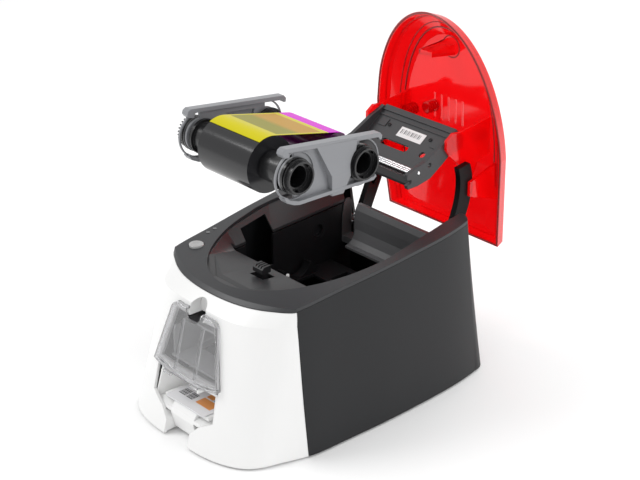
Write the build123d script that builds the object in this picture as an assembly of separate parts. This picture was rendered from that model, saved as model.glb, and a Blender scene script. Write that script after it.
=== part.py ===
from build123d import *
import math
import os

os.makedirs("parts", exist_ok=True)

# ---- driving dimensions, mm: X right, Y back, Z up, front at -Y ----
card_width = 54.0
card_length = 85.6
card_thickness = 0.8
wall = 3.0
fit = 0.3
running = 0.05
seam_y = -102.0
rim_slope = 0.115
rim_z = 140.0
rim_thickness = 3.0
bevel_z = 124.0
skirt_z = 2.0
foot_height = 3.0
floor_top = 6.0
opening_half = 82.5
opening_centre_y = 10.0
opening_front_y = -115.0
bay_half = 66.0
bay_front_y = -52.0
bay_rear_y = 88.0
deck_edge_z = 128.5
deck_skin = 3.0
plate_thickness = 2.5
arm_x0 = bay_half - 12.0
arm_x1 = arm_x0 + 6.0
ear_x0 = arm_x0 - 3.4
channel_half = card_width / 2 + 1.5
guide_half = card_width / 2 + 4.0
shaft_radius = 3.0
roller_radius = 8.0
pulley_radius = 7.0
card_path_z = 66.0
roller_z = card_path_z - roller_radius
hinge_y = 105.0
hinge_z = 108.0
hinge_radius = 3.0
cover_half = 81.5
cover_front_y = -117.0
cover_rear_y = 102.0
rear_taper = 8.0
crown_z = 175.4
shoulder_height = 12.115
crown_slope = 0.045
cover_wall = 2.5
crown_inset = 23.0
crown_setback = 24.0
supply_y = -86.0
supply_z = 251.0
take_y = -12.0
take_z = 243.0
supply_roll_radius = 25.0
take_roll_radius = 17.0
core_radius = 12.0
roll_half = 33.0
cassette_plate_x = 61.0
cassette_plate_thickness = 2.4
seat_shift_y = 69.0
seat_shift_z = -130.0
film_thickness = 0.3

# body outline, right half, front to back: base, knee height and rim
base_half = [
    (0, -173), (35, -172), (52, -169), (73, -160),
    (85, -146), (91, -128), (99, -102), (101.5, -66), (102.5, -20), (101.5, 34), (97, 94), (93, 116),
    (88, 129), (72, 138), (40, 145.5), (0, 148),
]
rim_half = [
    (0, -126), (33, -122.6), (50, -118), (70, -110),
    (76, -107), (80, -104.5), (83, -102), (86.5, -64), (90.5, -18), (93, 34), (92, 88), (90, 99),
    (84, 104), (66, 107.5), (38, 110.5), (0, 112),
]
knee_front = [(0, -141), (34, -140), (51, -136.5), (70, -124), (77.5, -115.5), (81.5, -109.5)]
crease_index = 3
seam_index = 6
corner_index = 11


def block(x0, x1, y0, y1, z0, z1):
    centre = Pos((x0 + x1) / 2, (y0 + y1) / 2, (z0 + z1) / 2)
    return centre * Box(x1 - x0, y1 - y0, z1 - z0)


def rod_x(radius, x0, x1, y, z):
    return Pos((x0 + x1) / 2, y, z) * Rot(0, 90, 0) * Cylinder(radius, x1 - x0)


def rod_y(radius, y0, y1, x, z):
    return Pos(x, (y0 + y1) / 2, z) * Rot(90, 0, 0) * Cylinder(radius, y1 - y0)


def rod_z(radius, z0, z1, x, y):
    return Pos(x, y, (z0 + z1) / 2) * Cylinder(radius, z1 - z0)


def tube_x(outer, inner, x0, x1, y, z):
    return rod_x(outer, x0, x1, y, z) - rod_x(inner, x0 - 1, x1 + 1, y, z)


def slab_x(points, x0, x1):
    face = make_face(Polyline(*points, close=True))
    return Pos(x0, 0, 0) * extrude(Plane.YZ * face, x1 - x0)


def slab_y(points, y0, y1):
    face = make_face(Polyline(*points, close=True))
    return Pos(0, y1, 0) * extrude(Plane.XZ * face, y1 - y0)


def slab_z(points, z0, z1):
    face = make_face(Polyline(*points, close=True))
    return Pos(0, 0, z0) * extrude(face, z1 - z0)


def save(shape, name):
    shape.label = name
    export_step(shape, "parts/" + name + ".step")


def rim_height(y):
    return rim_z + rim_slope * (y - seam_y)


def toward(start, end, share):
    return (start[0] + (end[0] - start[0]) * share, start[1] + (end[1] - start[1]) * share)


def inset(points, depth):
    moved = []
    last = len(points) - 1
    for i in range(len(points)):
        before = points[i - 1] if i > 0 else (-points[1][0], points[1][1])
        after = points[i + 1] if i < last else (-points[last - 1][0], points[last - 1][1])
        dx = after[0] - before[0]
        dy = after[1] - before[1]
        size = math.hypot(dx, dy)
        moved.append((points[i][0] - depth * dy / size, points[i][1] + depth * dx / size))
    moved[0] = (0, moved[0][1])
    moved[last] = (0, moved[last][1])
    return moved


def outline(points, z):
    front = points[: crease_index + 1]
    side = points[crease_index: corner_index + 1]
    rear = points[corner_index:]
    front_full = [(-x, y) for x, y in reversed(front[1:])] + front
    rear_full = rear + [(-x, y) for x, y in reversed(rear[:-1])]
    left_full = [(-x, y) for x, y in reversed(side)]
    runs = [front_full, side, rear_full, left_full]
    edges = [Spline(*[(x, y, z) for x, y in run]) for run in runs]
    return Wire([curve.edge() for curve in edges])


def level_points(z, depth):
    points = []
    for i in range(len(base_half)):
        height = rim_height(rim_half[i][1])
        share = z / height
        if i < len(knee_front) and z <= bevel_z:
            points.append(toward(base_half[i], knee_front[i], z / bevel_z))
        elif i < len(knee_front):
            points.append(toward(knee_front[i], rim_half[i], (z - bevel_z) / (height - bevel_z)))
        else:
            points.append(toward(base_half[i], rim_half[i], share))
    return inset(points, depth) if depth else points


def straight_points(z, depth):
    points = []
    seam = toward(base_half[seam_index], rim_half[seam_index], z / rim_z)
    for i in range(len(base_half)):
        height = rim_height(rim_half[i][1])
        if i < seam_index:
            points.append((base_half[i][0] * seam[0] / base_half[seam_index][0], base_half[i][1]))
        else:
            points.append(toward(base_half[i], rim_half[i], z / height))
    return inset(points, depth) if depth else points


def front_body(depth, z_low):
    lower = Solid.make_loft(
        [outline(level_points(z_low, depth), z_low), outline(level_points(bevel_z, depth), bevel_z)], True)
    upper = Solid.make_loft(
        [outline(level_points(bevel_z, depth), bevel_z), outline(level_points(142, depth), 142)], True)
    return lower + upper


def rear_body(depth, z_low):
    return Solid.make_loft(
        [outline(straight_points(z_low, depth), z_low), outline(straight_points(172, depth), 172)], True)


# slanted rim plane: local X is X, local Y runs back up the slope
slope_length = math.hypot(1, rim_slope)
rim_normal = (0, -rim_slope / slope_length, 1 / slope_length)
rim_plane = Plane(origin=(0, seam_y, rim_z), x_dir=(1, 0, 0), z_dir=rim_normal)
big = 400.0


def above_rim(offset):
    return rim_plane * Pos(0, 0, offset + big / 2) * Box(big * 2, big * 2, big)


def d_outline(half, front_y, rear_y, straight_y):
    depth = straight_y - front_y
    steps = 8
    run = []
    for i in range(2 * steps + 1):
        angle = math.pi * i / (2 * steps)
        run.append((half * math.cos(angle), straight_y - depth * math.sin(angle)))
    return run, rear_y


def d_wire(half, front_y, rear_y, straight_y, plane, height_scale):
    run, back = d_outline(half, front_y, rear_y, straight_y)
    local = [(x, (y - seam_y) * height_scale) for x, y in run]
    right_back = (half - rear_taper, (back - seam_y) * height_scale)
    left_back = (rear_taper - half, (back - seam_y) * height_scale)
    arc = Spline(*local, tangents=((0, -1), (0, 1)))
    edges = [arc.edge(), Line(local[-1], left_back).edge(), Line(left_back, right_back).edge(),
             Line(right_back, local[0]).edge()]
    return plane * Wire(edges)


opening_wire = d_wire(opening_half, opening_front_y, bay_rear_y + 12, opening_centre_y, rim_plane, slope_length)
opening_cut = extrude(make_face(opening_wire), 30, both=True)

# ---- outer body ----
split_gap = 0.15
front_half_space = block(-200, 200, -300, seam_y - split_gap, -10, 300)
rear_half_space = block(-200, 200, seam_y + split_gap, 300, -10, 300)
rim_cut = above_rim(-rim_thickness - fit)

feeder_low_z = 63.0
feeder_top_z = 121.0
feeder_low_half = 44.5
feeder_top_half = 29.0
outlet_half = 42.0
outlet_low_z = 24.0
outlet_high_z = 62.0
notch_left = -16.0
notch_right = 17.0
chamfer = 9.0
rear_gap_half = opening_half - rear_taper + 1.0
panel_top_y = -173.0
panel_lean = 0.26
feeder_hinge_y = -162.9
feeder_hinge_z = 59.5
recess_radius = 11.0
recess_z = 119.0
knuckle_radius = 1.9
knuckle_pin = 0.9


def panel_y(z):
    return panel_top_y + panel_lean * z


def make_front_panel():
    shell = front_body(0, 0) - front_body(wall, -2)
    shell = shell & front_half_space
    shell = shell - block(-200, 200, -300, 300, -10, skirt_z)
    shell = shell - rim_cut
    # outlet window with chamfered thumb notch down to the table
    window = [
        (-outlet_half, outlet_high_z), (outlet_half, outlet_high_z), (outlet_half, outlet_low_z + chamfer),
        (notch_right + chamfer, outlet_low_z), (notch_right, outlet_low_z - chamfer), (notch_right, -5),
        (notch_left, -5), (notch_left, outlet_low_z - chamfer), (notch_left - chamfer, outlet_low_z),
        (-outlet_half, outlet_low_z + chamfer),
    ]
    shell = shell - slab_y(window, -200, -120)
    # feeder mouth behind the clear cover, and the finger recess above it
    mouth = [(-38, 66), (38, 66), (27, 114), (-27, 114)]
    shell = shell - slab_y(mouth, -200, -110)
    shell = shell - rod_y(recess_radius, -200, -131, 0, recess_z)
    # cheeks beside the thumb notch, running inwards
    for edge, side in ((notch_left, -1), (notch_right, 1)):
        cheek_profile = [
            (edge + side * 3, foot_height), (edge, foot_height), (edge, outlet_low_z - chamfer),
            (edge + side * 5.2, 20.2), (edge + side * 8.2, 20.2), (edge + side * 3, outlet_low_z - chamfer),
        ]
        shell = shell + (slab_y(cheek_profile, -190, -153) & front_body(0, 0))
    # closed cup behind the finger recess, open below to the card mouth
    cup = rod_y(recess_radius + 2, -150, -128, 0, recess_z) - rod_y(recess_radius, -200, -130, 0, recess_z)
    cup = cup & block(-50, 50, -150, -120, recess_z - 6, 200)
    shell = shell + (cup & front_body(0, 0))
    # two small lugs with pins for the feeder cover's knuckles
    lug_profile = [(-164.8, 60.2), (-164.8, 57.6), (-155.3, 57.6), (-155.3, 64.0), (-156.0, 64.0), (-157.2, 60.2)]
    for side in (-1, 1):
        x0, x1 = sorted((side * 24.4, side * 26.4))
        pin_x0, pin_x1 = sorted((side * 14, side * 25))
        lug = slab_x(lug_profile, x0, x1)
        shell = shell + lug + rod_x(knuckle_pin, pin_x0, pin_x1, feeder_hinge_y, feeder_hinge_z)
    return shell


def make_housing():
    shell = rear_body(0, 0) - rear_body(wall, -2)
    shell = shell & rear_half_space
    shell = shell - block(-200, 200, -300, 300, -10, skirt_z)
    shell = shell - rim_cut
    # rear wall is cut down between the hinge posts so the cover can swing through
    shell = shell - block(-rear_gap_half, rear_gap_half, 92, 200, 100, 300)
    # rear sockets
    shell = shell - block(29.7, 44.3, 120, 170, 14.7, 25.3)
    shell = shell - block(52.7, 71.3, 110, 170, 12.7, 27.3)
    return shell


def make_top_rim():
    rear_space = block(-200, 200, seam_y - split_gap, 300, 0, 300)
    body = (front_body(0, 0) & front_half_space) + (rear_body(0, 0) & rear_space)
    ring = body - above_rim(0)
    ring = ring & above_rim(-rim_thickness)
    ring = ring - opening_cut
    ring = ring - block(-rear_gap_half, rear_gap_half, 92, 200, 90, 300)
    # button and light holes in the left front corner
    ring = ring - rod_z(button_radius + 0.4, 100, 200, button_x, button_y)
    for x, y in light_spots:
        ring = ring - rod_z(light_radius + running, 100, 200, x, y)
    return ring


button_x = -70.0
button_y = -88.0
button_radius = 7.0
light_radius = 2.0
light_spots = [(-80.2, -66.5), (-80.8, -58.0)]

save(make_front_panel(), "front_panel")
save(make_housing(), "housing")
save(make_top_rim(), "top_rim")


def make_base_plate():
    plate = rear_body(wall + fit, 0) & block(-200, 200, -101, 300, foot_height, floor_top)
    nose = front_body(wall + fit, 0) & block(-200, 200, -300, -101, foot_height, floor_top)
    plate = plate + nose
    plate = plate - block(notch_left - 4, notch_right + 4, -200, -140, 0, 10)
    for i in range(7):
        plate = plate - block(-30, 30, 20 + 8 * i, 23 + 8 * i, 0, 10)
    return plate


save(make_base_plate(), "base_plate")
foot_spots = {"foot_front_left": (-62, -138), "foot_front_right": (62, -138), "foot_rear_left": (-78, 112),
              "foot_rear_right": (78, 112)}
for name, spot in foot_spots.items():
    save(rod_z(8, 0, foot_height, spot[0], spot[1]), name)


# ---- deck: the sloping faceted funnel between the rim opening and the bay ----
def mirror_points(half):
    return half + [(-x, y) for x, y in reversed(half)]


rear_half = opening_half - rear_taper
funnel_top = mirror_points([(rear_half, 100), (opening_half, 8), (74, -50), (52, -88), (20, -112)])


def funnel(drop):
    top = funnel_top
    low = mirror_points([(bay_half, 100), (bay_half, 0), (bay_half, bay_front_y + 6), (bay_half - 8, bay_front_y),
                         (18, bay_front_y)])
    top_points = [(x, y, rim_height(y) - rim_thickness - fit - drop) for x, y in top]
    low_points = [(x, y, deck_height(y) - drop) for x, y in low]
    top_wire = Wire.make_polygon(top_points, close=True)
    low_wire = Wire.make_polygon(low_points, close=True)
    return Solid.make_loft([top_wire, low_wire], True)


def deck_height(y):
    return deck_edge_z + 0.055 * (y - bay_front_y)


catch_y = -69.0
catch_half = 9.0
lip_scale = 1.025
supply_seat_y = supply_y + seat_shift_y
supply_seat_z = supply_z + seat_shift_z
take_seat_y = take_y + seat_shift_y
take_seat_z = take_z + seat_shift_z
knob_radius = 16.0
take_knob_radius = 16.0
knob_end = 73.0
knob_room = 0.7
slot_right_x = bay_half + 8.5
slot_left_x = -bay_half - 14.3


def knob_slots():
    supply_slot = knob_radius + knob_room
    take_slot = take_knob_radius + knob_room
    inner_x = bay_half - 1
    cut = block(inner_x, slot_right_x, supply_seat_y - supply_slot, supply_seat_y + supply_slot, 95, 160)
    cut = cut + block(inner_x, slot_right_x, take_seat_y - take_slot, take_seat_y + take_slot, 90, 160)
    cut = cut + block(slot_left_x, -inner_x, supply_seat_y - supply_slot, supply_seat_y + supply_slot, 95, 160)
    cut = cut + rod_x(supply_slot, inner_x, slot_right_x, supply_seat_y, supply_seat_z)
    cut = cut + rod_x(supply_slot, slot_left_x, -inner_x, supply_seat_y, supply_seat_z)
    return cut


def make_deck():
    skin = funnel(deck_skin) - funnel(0)
    skin = skin - block(-bay_half, bay_half, bay_front_y, 130, 90, 200)
    skin = skin - block(-200, 200, bay_rear_y + 4, 200, 90, 200)
    skin = skin - block(-catch_half, catch_half, catch_y - 7, catch_y + 7, 90, 200)
    skin = skin - knob_slots()
    # upright lip under the rim opening
    lip_outer = [(x * lip_scale, y * lip_scale) for x, y in funnel_top]
    lip_inner = [(x * 0.95, y * 0.95) for x, y in funnel_top]
    lip = slab_z(lip_outer, 100, 200) - slab_z(lip_inner, 99, 201) - funnel(0)
    lip = (lip & above_rim(-rim_thickness - fit - 4.5)) - above_rim(-rim_thickness - fit)
    lip = lip - block(-200, 200, bay_rear_y + 4, 200, 90, 200)
    return skin + lip


save(make_deck(), "deck")


# ---- chassis inside the body ----
shaft_spots = {"feed": (-112.0, roller_z), "transport": (-58.0, roller_z), "platen": (20.0, roller_z),
               "rear": (76.0, roller_z), "exit": (-104.0, 24.0)}
motor_y = 36.0
motor_z = 27.0


def make_side_plate(side):
    profile = [
        (-144, floor_top), (100, floor_top), (100, deck_height(100) - deck_skin - fit - 1),
        (bay_front_y, deck_edge_z - deck_skin - fit - 1), (bay_front_y - 3, 100), (-122, 100),
    ]
    x0 = bay_half if side > 0 else -bay_half - plate_thickness
    plate = slab_x(profile, x0, x0 + plate_thickness)
    for y, z in shaft_spots.values():
        plate = plate - rod_x(shaft_radius + running, x0 - 1, x0 + 4, y, z)
    if side > 0:
        plate = plate - rod_x(shaft_radius + running, x0 - 1, x0 + 4, motor_y, motor_z)
    else:
        plate = plate - rod_x(9 + running, x0 - 1, x0 + 4, take_seat_y, take_seat_z)
    plate = plate - knob_slots()
    plate = plate - slab_x([(-30, 12), (10, 12), (10, 40), (-30, 40)], x0 - 1, x0 + 4)
    return plate


save(make_side_plate(1), "side_plate_right")
save(make_side_plate(-1), "side_plate_left")


def make_bay_front_wall():
    panel = block(-bay_half + fit, bay_half - fit, bay_front_y - 3, bay_front_y, 76, deck_edge_z - deck_skin - fit)
    foot = block(-bay_half + fit, bay_half - fit, bay_front_y - 7.5, bay_front_y, 73, 76)
    return panel + foot


def make_rear_beam():
    profile = [(88, 92), (100, 92), (100, 134), (97, 136.5), (93, 136.5), (90, 131), (88.5, 122), (88, 112)]
    beam = slab_x(profile, -bay_half + fit, bay_half - fit)
    ledge_profile = [(74, 96), (88, 96), (88, 112), (84, 103), (79, 99), (74, 98.5)]
    ledge = slab_x(ledge_profile, 20 - bay_half, bay_half - 20)
    beam = beam + ledge
    # notches for the two cover arms
    for side in (-1, 1):
        x0, x1 = sorted((side * (arm_x0 - 5.5), side * (arm_x1 + 4.5)))
        beam = beam - block(x0, x1, 70, 110, 99, 200)
    return beam


def make_inner_frame():
    frame = block(-bay_half + fit, bay_half - fit, bay_front_y + fit, 73, 74, 77)
    frame = frame - block(14 - bay_half, bay_half - 14, -2, 38, 70, 80)
    frame = frame - block(-34, 34, 44, 66, 70, 80)
    frame = frame - block(-34, 34, -44, -12, 70, 80)
    return frame


def make_cradle(side):
    x0, x1 = sorted((side * (bay_half - 12), side * (bay_half - 3)))
    cradle = slab_x([(-6, 77), (46, 77), (38, 90), (2, 90)], x0, x1)
    return cradle - rod_x(core_radius + 4, x0 - 1, x1 + 1, 20, 94)


def make_bed():
    low = card_path_z - 3
    top = card_path_z - 1
    guide_top = card_path_z + 1.2
    inner = channel_half - 0.3
    bed = block(-inner - 0.8, inner + 0.8, -100, 92, low, top)
    for y, z in shaft_spots.values():
        if z == roller_z:
            bed = bed - block(-guide_half, guide_half, y - 8.8, y + 8.8, 50, 80)
    # cross rails to the side plates, and card guides that stay low under the print head
    for side in (-1, 1):
        rail_x0, rail_x1 = sorted((side * (inner + 0.8), side * (bay_half - fit)))
        bed = bed + block(rail_x0, rail_x1, -30, -24, low, top)
        x0, x1 = sorted((side * inner, side * guide_half))
        bed = bed + block(x0, x1, -100, 92, low, top)
        bed = bed + block(x0, x1, -59, 4, low, guide_top)
        bed = bed + block(x0, x1, 38, 92, low, guide_top)
    return bed


save(make_bay_front_wall(), "bay_front_wall")
save(make_rear_beam(), "rear_beam")
save(make_inner_frame(), "inner_frame")
save(make_cradle(1), "cassette_cradle_right")
save(make_cradle(-1), "cassette_cradle_left")
save(make_bed(), "card_bed")


# ---- card hopper behind the clear feeder cover ----
hopper_rear_y = -60.0


def make_hopper():
    floor = block(-31, 31, -148, hopper_rear_y, card_path_z, card_path_z + 2) - block(-22, 22, -123, -101, 60, 70)
    left = block(-31, -28.5, -146, hopper_rear_y, card_path_z + 2, 96)
    right = block(28.5, 31, -146, hopper_rear_y, card_path_z + 2, 96)
    back = block(-31, 31, hopper_rear_y - 2, hopper_rear_y, card_path_z + 3.2, 96)
    roof = block(-31, 31, -131, hopper_rear_y, 96, 98)
    hopper = floor + left + right + back + roof
    wedge = front_body(wall + fit, 0)
    return hopper & wedge


save(make_hopper(), "card_hopper")


# ---- outlet tray: splayed cheeks, shelf and sloping face in the thumb notch ----
def funnel_box(x_front, z_low_front, z_high_front, x_back, z_low_back, z_high_back, y_front, y_back):
    front = [(-x_front, y_front, z_low_front), (x_front, y_front, z_low_front), (x_front, y_front, z_high_front),
             (-x_front, y_front, z_high_front)]
    back = [(-x_back, y_back, z_low_back), (x_back, y_back, z_low_back), (x_back, y_back, z_high_back),
            (-x_back, y_back, z_high_back)]
    return Solid.make_loft([Wire.make_polygon(front, close=True), Wire.make_polygon(back, close=True)], True)


shelf_z = 32.0


def make_tray():
    outer = funnel_box(44.5, 21, 64, 31, 29, 47.4, -168, -132)
    inner = funnel_box(42.0, 24, 61.6, 28.5, shelf_z, 45.0, -168, -132)
    cone = outer - inner
    channel = block(-31, 31, -132, -70, 29, 47.4) - block(-28.5, 28.5, -133, -69, shelf_z, 45)
    channel = channel - block(-18, 18, -113, -95, 20, 34)
    shelf = block(-31, 31, -158, -132, 29, shelf_z)
    lip_profile = [(-158, 29), (-158, shelf_z), (-165, 24), (-160, 5), (-154, 5), (-154, 29)]
    lip = slab_x(lip_profile, notch_left + 0.5, notch_right - 0.5)
    tray = cone + channel + shelf + lip
    limit = front_body(wall + fit, 0)
    return tray & limit


tray = make_tray()
save(tray, "card_tray")

card_y0 = -161.0
card_z0 = shelf_z + fit
printed_card = block(-card_width / 2, card_width / 2, card_y0, card_y0 + card_length, card_z0, card_z0 + card_thickness)
for corner_x in (-1, 1):
    for corner_y in (card_y0, card_y0 + card_length):
        inward = 1 if corner_y == card_y0 else -1
        x_mid = corner_x * (card_width / 2 - 3.18)
        y_mid = corner_y + inward * 3.18
        x0, x1 = sorted((x_mid, x_mid + corner_x * 4))
        y0, y1 = sorted((y_mid, y_mid - inward * 4))
        square = block(x0, x1, y0, y1, card_z0 - 1, card_z0 + 3)
        printed_card = printed_card - (square - rod_z(3.18, card_z0 - 2, card_z0 + 4, x_mid, y_mid))
save(printed_card, "printed_card")


# ---- clear feeder cover, hinged along its bottom edge ----
def feeder_profile(depth):
    low_x = feeder_low_half - depth
    low_z = feeder_low_z + depth
    side_x = feeder_top_half + 2.5 - depth
    side_z = feeder_top_z - 8
    mid_x = feeder_top_half - depth
    mid_z = feeder_top_z - 2.5 - depth / 2
    top_x = feeder_top_half - 5 - depth
    top_z = feeder_top_z - depth
    edges = [
        Spline((-low_x, low_z), (0, low_z - 3), (low_x, low_z)),
        Line((low_x, low_z), (side_x, side_z)),
        ThreePointArc((side_x, side_z), (mid_x, mid_z), (top_x, top_z)),
        Line((top_x, top_z), (-top_x, top_z)),
        ThreePointArc((-top_x, top_z), (-mid_x, mid_z), (-side_x, side_z)),
        Line((-side_x, side_z), (-low_x, low_z)),
    ]
    return make_face(Wire([curve.edge() for curve in edges]))


def panel_shift(distance):
    return Pos(0, distance, 0) * front_body(0, -5)


def make_feeder_cover():
    prism = Pos(0, -100, 0) * extrude(Plane.XZ * feeder_profile(0), 100)
    hollow = Pos(0, -100, 0) * extrude(Plane.XZ * feeder_profile(2.0), 100)
    outer = prism & (panel_shift(-5.0) - panel_shift(-fit))
    core = hollow & (panel_shift(-3.2) - panel_shift(0.5))
    cover = outer - core
    # finger scoop through the top edge
    cover = cover - rod_y(10.5, -200, -100, 0, feeder_top_z)
    for side in (-1, 1):
        x0, x1 = sorted((side * 13.0, side * 14.2))
        rib = block(x0, x1, -200, -100, feeder_low_z + 1, feeder_top_z - 12)
        cover = cover + (rib & (panel_shift(-3.4) - panel_shift(-fit)))
        # hinge knuckle under the bottom edge
        x0, x1 = sorted((side * 14.5, side * 24.0))
        cover = cover + rod_x(knuckle_radius, x0, x1, feeder_hinge_y, feeder_hinge_z)
        cover = cover - rod_x(knuckle_pin + running, x0 - 1, x1 + 1, feeder_hinge_y, feeder_hinge_z)
    return cover


save(make_feeder_cover(), "card_cover")

# ---- power button, lights, latch catch ----
button_top = rim_height(button_y) + 1.6


def make_button():
    button = rod_z(button_radius, button_top - 5, button_top, button_x, button_y)
    button = fillet(button.faces().sort_by(Axis.Z)[-1].edges(), 1.2)
    dish = Pos(button_x, button_y, button_top + 11) * Sphere(11.8)
    stem = rod_z(2.5, button_top - 12, button_top - 5, button_x, button_y)
    return button - dish + stem


save(make_button(), "power_button")
for index, spot in enumerate(light_spots):
    height = rim_height(spot[1])
    save(rod_z(light_radius, height - 6, height + 0.3, spot[0], spot[1]), "indicator_light_" + str(index + 1))

catch_pivot_z = 121.0


def make_catch():
    stem = block(-5, 5, catch_y - 3, catch_y + 3, catch_pivot_z - 3, 137)
    nose_profile = [(catch_y + 4.5, 134.6), (catch_y - 5.5, 134.6), (catch_y - 5.5, 138.6), (catch_y - 3, 141),
                    (catch_y + 4.5, 141)]
    body = stem + slab_x(nose_profile, -6.5, 6.5)
    for x in (-3.4, 0, 3.4):
        body = body - block(x - 0.7, x + 0.7, catch_y - 7, catch_y + 6, 139.4, 142)
    return body - rod_x(2 + running, -6, 6, catch_y, catch_pivot_z)


def make_catch_bracket():
    bracket = block(-9, 9, catch_y - 5, catch_y + 5, catch_pivot_z - 6, catch_pivot_z - 4)
    for x0 in (-8, 6):
        bracket = bracket + block(x0, x0 + 2, catch_y - 5, catch_y + 5, catch_pivot_z - 4, catch_pivot_z + 3)
    bracket = bracket + rod_x(2, -8, 8, catch_y, catch_pivot_z)
    arm = block(-9, 9, catch_y + 5, bay_front_y - 3, catch_pivot_z - 6, catch_pivot_z - 4)
    return bracket + arm


save(make_catch(), "latch_catch")
save(make_catch_bracket(), "latch_bracket")


# ---- shafts, rollers, belt drive ----
def make_shaft(y, z, x1):
    return rod_x(shaft_radius, -bay_half - plate_thickness - 1, x1, y, z)


pulley_x0 = bay_half + plate_thickness + 2.0
pulley_x1 = pulley_x0 + 6.0


def make_pulley(radius, y, z):
    wheel = rod_x(radius, pulley_x0, pulley_x1, y, z)
    flange = rod_x(radius + 1.6, pulley_x0 - 0.8, pulley_x0 - 0.1, y, z)
    flange = flange + rod_x(radius + 1.6, pulley_x1 + 0.1, pulley_x1 + 0.8, y, z)
    hub = rod_x(shaft_radius + 1, pulley_x0 - 0.8, pulley_x1 + 0.8, y, z)
    return wheel + flange + hub - rod_x(shaft_radius, pulley_x0 - 5, pulley_x1 + 5, y, z)


motor_pulley_radius = 5.0
for name, spot in shaft_spots.items():
    save(make_shaft(spot[0], spot[1], pulley_x1 + 1.5) + make_pulley(pulley_radius, spot[0], spot[1]), name + "_shaft")
    reach = 20 if name in ("feed", "exit") else 27
    radius = {"exit": 5.0, "feed": 10.0}.get(name, roller_radius)
    save(tube_x(radius, shaft_radius, -reach, reach, spot[0], spot[1]), name + "_roller")


def make_motor():
    can = rod_x(15, 24, bay_half - fit, motor_y, motor_z)
    plate = block(bay_half - fit - 2, bay_half - fit, motor_y - 18, motor_y + 18, motor_z - 18, motor_z + 18)
    return can + plate


def make_motor_pulley():
    stub = rod_x(shaft_radius, bay_half + running, pulley_x1 + 1.5, motor_y, motor_z)
    return stub + make_pulley(motor_pulley_radius, motor_y, motor_z)


save(make_motor(), "main_motor")
save(make_motor_pulley(), "motor_pulley")


def make_belt():
    spots = [shaft_spots["feed"], shaft_spots["exit"], shaft_spots["rear"]]
    rings = []
    for extra in (fit, fit + 1.2):
        edges = []
        for y, z in spots:
            edges.append((Pos(y, z) * Circle(pulley_radius + extra)).edge())
        edges.append((Pos(motor_y, motor_z) * Circle(motor_pulley_radius + extra)).edge())
        rings.append(make_hull(edges))
    band = rings[1] - rings[0]
    return Pos(pulley_x0 + 0.5, 0, 0) * extrude(Plane.YZ * band, pulley_x1 - pulley_x0 - 1)


save(make_belt(), "drive_belt")

# ---- ribbon drive at the left wall ----
hub_x1 = -bay_half - plate_thickness - 0.4


def make_gear(radius, teeth, x0, x1, y, z, depth):
    wheel = rod_x(radius - depth, x0, x1, y, z)
    for i in range(teeth):
        angle = 2 * math.pi * i / teeth
        cy = y + (radius - depth / 2) * math.cos(angle)
        cz = z + (radius - depth / 2) * math.sin(angle)
        tooth = Box(x1 - x0, depth + 0.6, math.pi * radius / teeth * 0.8)
        wheel = wheel + Pos((x0 + x1) / 2, cy, cz) * Rot(math.degrees(angle), 0, 0) * tooth
    return wheel


def make_hub():
    wheel = rod_x(16, hub_x1 - 6, hub_x1, take_seat_y, take_seat_z)
    sleeve = rod_x(9, hub_x1 - 1, -bay_half - 0.2, take_seat_y, take_seat_z)
    socket = Pos(-bay_half - 4, take_seat_y, take_seat_z) * Rot(0, 90, 0) * extrude(RegularPolygon(6.5, 8), 8)
    return wheel + sleeve - socket


save(make_hub(), "ribbon_hub")

# ---- electronics ----
def make_board():
    board = block(-60, 20, 84, 120, 10, 11.6)
    board = board + block(-50, -30, 96, 110, 11.6, 15)
    board = board + block(-10, 6, 90, 104, 11.6, 14)
    board = board + rod_z(5, 11.6, 24, -20, 112)
    for x in (-55, 15):
        for y in (88, 116):
            board = board + rod_z(2.5, floor_top, 10, x, y)
    return board


save(make_board(), "circuit_board")
save(block(30, 44, 122, 141.6, 15, 25) - block(32, 42, 128, 160, 17, 23), "usb_socket")
save(block(53, 71, 116, 137, 13, 27) - rod_y(6, 124, 160, 62, 20), "power_inlet")


# ---- hinge posts with their pins ----
def make_hinge_post(side):
    points = [(100.3, 92), (112, 92), (112, 112), (108, 116), (100.3, 116)]
    x0 = bay_half if side > 0 else -bay_half - 3.0
    post = slab_x(points, x0, x0 + 3.0)
    inner = arm_x0 - 1
    pin = rod_x(hinge_radius, inner, bay_half, hinge_y, hinge_z)
    if side < 0:
        pin = rod_x(hinge_radius, -bay_half, -inner, hinge_y, hinge_z)
    return post + pin


save(make_hinge_post(1), "hinge_post_right")
save(make_hinge_post(-1), "hinge_post_left")


# ---- cover, drawn closed and swung open by 90 degrees ----
def opened(shape):
    return Pos(0, hinge_y, hinge_z) * Rot(-90, 0, 0) * Pos(0, -hinge_y, -hinge_z) * shape


def cover_solid(depth, floor_drop):
    low_plane = Plane(origin=(0, seam_y, rim_z + 0.6 - floor_drop), x_dir=(1, 0, 0), z_dir=rim_plane.z_dir)
    mid_plane = Plane(origin=(0, seam_y, rim_z + shoulder_height), x_dir=(1, 0, 0), z_dir=rim_plane.z_dir)
    rise = crown_slope * (cover_rear_y - 8 - seam_y) / math.hypot(1, crown_slope)
    top_plane = Plane(origin=(0, seam_y, crown_z - rise - depth), x_dir=(1, 0, 0), z_dir=(0, -crown_slope, 1))
    low = d_wire(cover_half - depth, cover_front_y + depth, cover_rear_y - depth, 10, low_plane, slope_length)
    mid_half = cover_half - 4 - depth
    mid = d_wire(mid_half, cover_front_y + 4 + depth, cover_rear_y - 1 - depth, 10, mid_plane, slope_length)
    top_half = cover_half - crown_inset - depth * 0.6
    top = d_wire(top_half, cover_front_y + crown_setback + depth, cover_rear_y - 8 - depth, 10, top_plane, 1.0)
    return Solid.make_loft([low, mid], True) + Solid.make_loft([mid, top], True)


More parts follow.
